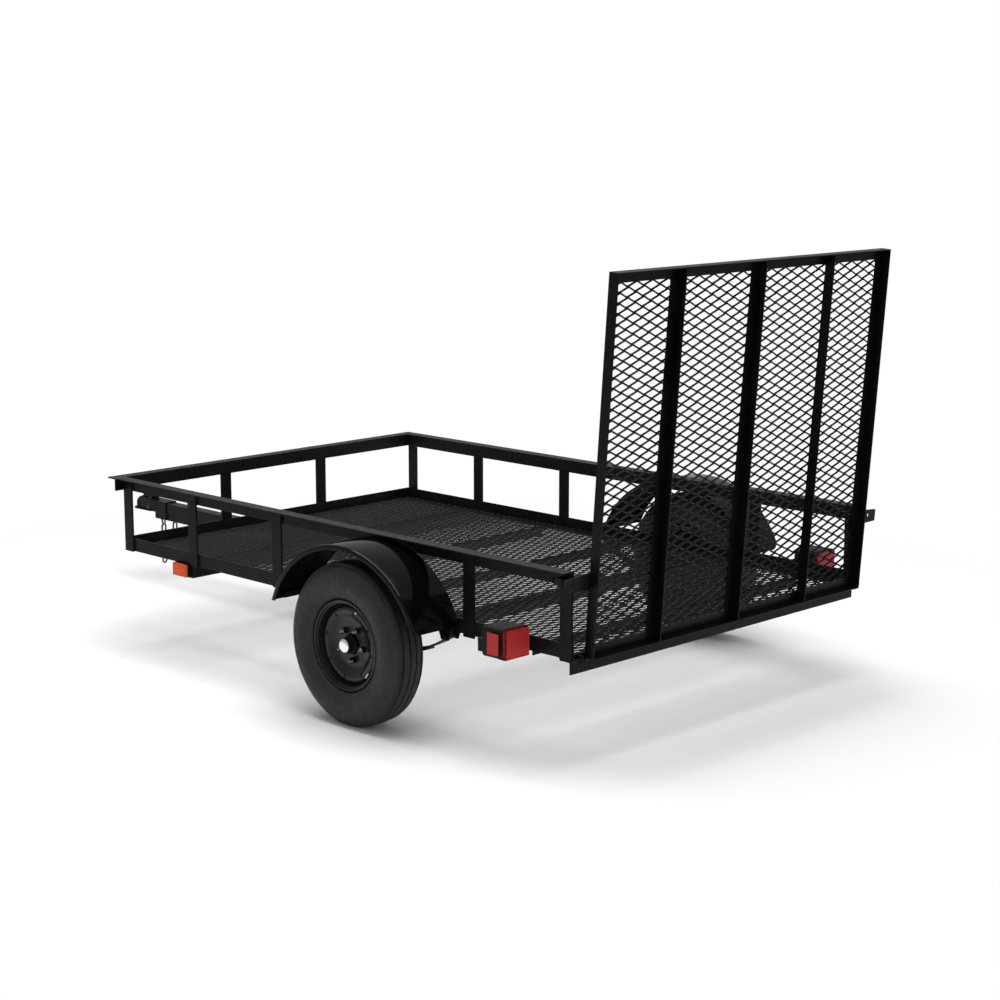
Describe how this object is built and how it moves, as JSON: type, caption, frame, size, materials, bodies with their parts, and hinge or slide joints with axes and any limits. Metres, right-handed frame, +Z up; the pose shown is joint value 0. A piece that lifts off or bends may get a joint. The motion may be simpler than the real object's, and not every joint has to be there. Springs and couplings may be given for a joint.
{
  "type": "utility trailer",
  "caption": "Single-axle utility trailer with an open angle-iron bed, mesh floor and mesh tailgate, round fenders, straight tongue with ball coupler and a drop-leg jack under the front of the bed.",
  "frame": {"origin": "on the ground under the middle of the whole trailer", "axes": "+X forward to the coupler, +Y to the left, +Z up"},
  "size_m": [3.569, 1.979, 1.6182],
  "materials": {
    "black_paint": "satin black paint",
    "mesh_paint": "satin black paint",
    "wheel_paint": "gloss black paint",
    "tyre": "matt rubber",
    "hub": "bright cap",
    "zinc": "zinc plate",
    "spring_steel": "black paint",
    "amber_lens": "clear amber plastic",
    "red_lens": "clear red plastic",
    "lamp_body": "black plastic"
  },
  "bodies": {
    "frame": {"axle": "black_paint", "axle_clamps": "black_paint", "coupler": "black_paint", "coupler_latch": "black_paint", "fender_braces": "black_paint", "fender_left": "black_paint", "fender_right": "black_paint", "floor_cross_members": "black_paint", "floor_mesh": "mesh_paint", "front_posts": "black_paint", "front_rail": "black_paint", "hinge_lugs": "black_paint", "jack_crank": "black_paint", "jack_tube": "black_paint", "latch_pins": "black_paint", "leaf_spring_left": "spring_steel", "leaf_spring_right": "spring_steel", "marker_brackets": "black_paint", "marker_lamps": "amber_lens", "rear_rail": "black_paint", "safety_chains": "zinc", "side_posts": "black_paint", "side_rail_left": "black_paint", "side_rail_right": "black_paint", "spring_hangers": "black_paint", "tail_lamp_brackets": "black_paint", "tail_lamp_housings": "lamp_body", "tail_lamp_lenses": "red_lens", "tongue": "black_paint", "tongue_cross_member": "black_paint", "top_rail_front": "black_paint", "top_rail_left": "black_paint", "top_rail_right": "black_paint"},
    "wheel_left": {"tyre_left": "tyre", "rim_left": "wheel_paint", "hub_left": "hub"},
    "wheel_right": {"tyre_right": "tyre", "rim_right": "wheel_paint", "hub_right": "hub"},
    "gate": {"gate_frame": "black_paint", "gate_knuckles": "black_paint", "gate_mesh": "mesh_paint", "gate_uprights": "black_paint", "latch_ears": "black_paint"},
    "jack_leg": {"jack_leg": "zinc"}
  },
  "joints": [
    {"name": "wheel_left_spin", "type": "hinge", "parent": "frame", "child": "wheel_left", "pos_m": [-0.75652, 0.911, 0.29], "axis": [0, 1, 0], "continuous": true},
    {"name": "wheel_right_spin", "type": "hinge", "parent": "frame", "child": "wheel_right", "pos_m": [-0.75652, -0.911, 0.29], "axis": [0, 1, 0], "continuous": true},
    {"name": "gate_hinge", "type": "hinge", "parent": "frame", "child": "gate", "pos_m": [-1.64802, 0, 0.366], "axis": [0, -1, 0], "range_deg": [0, 100]},
    {"name": "jack_slide", "type": "slide", "parent": "frame", "child": "jack_leg", "axis": [0, 0, 1], "range_m": [0, 0.15]}
  ]
}
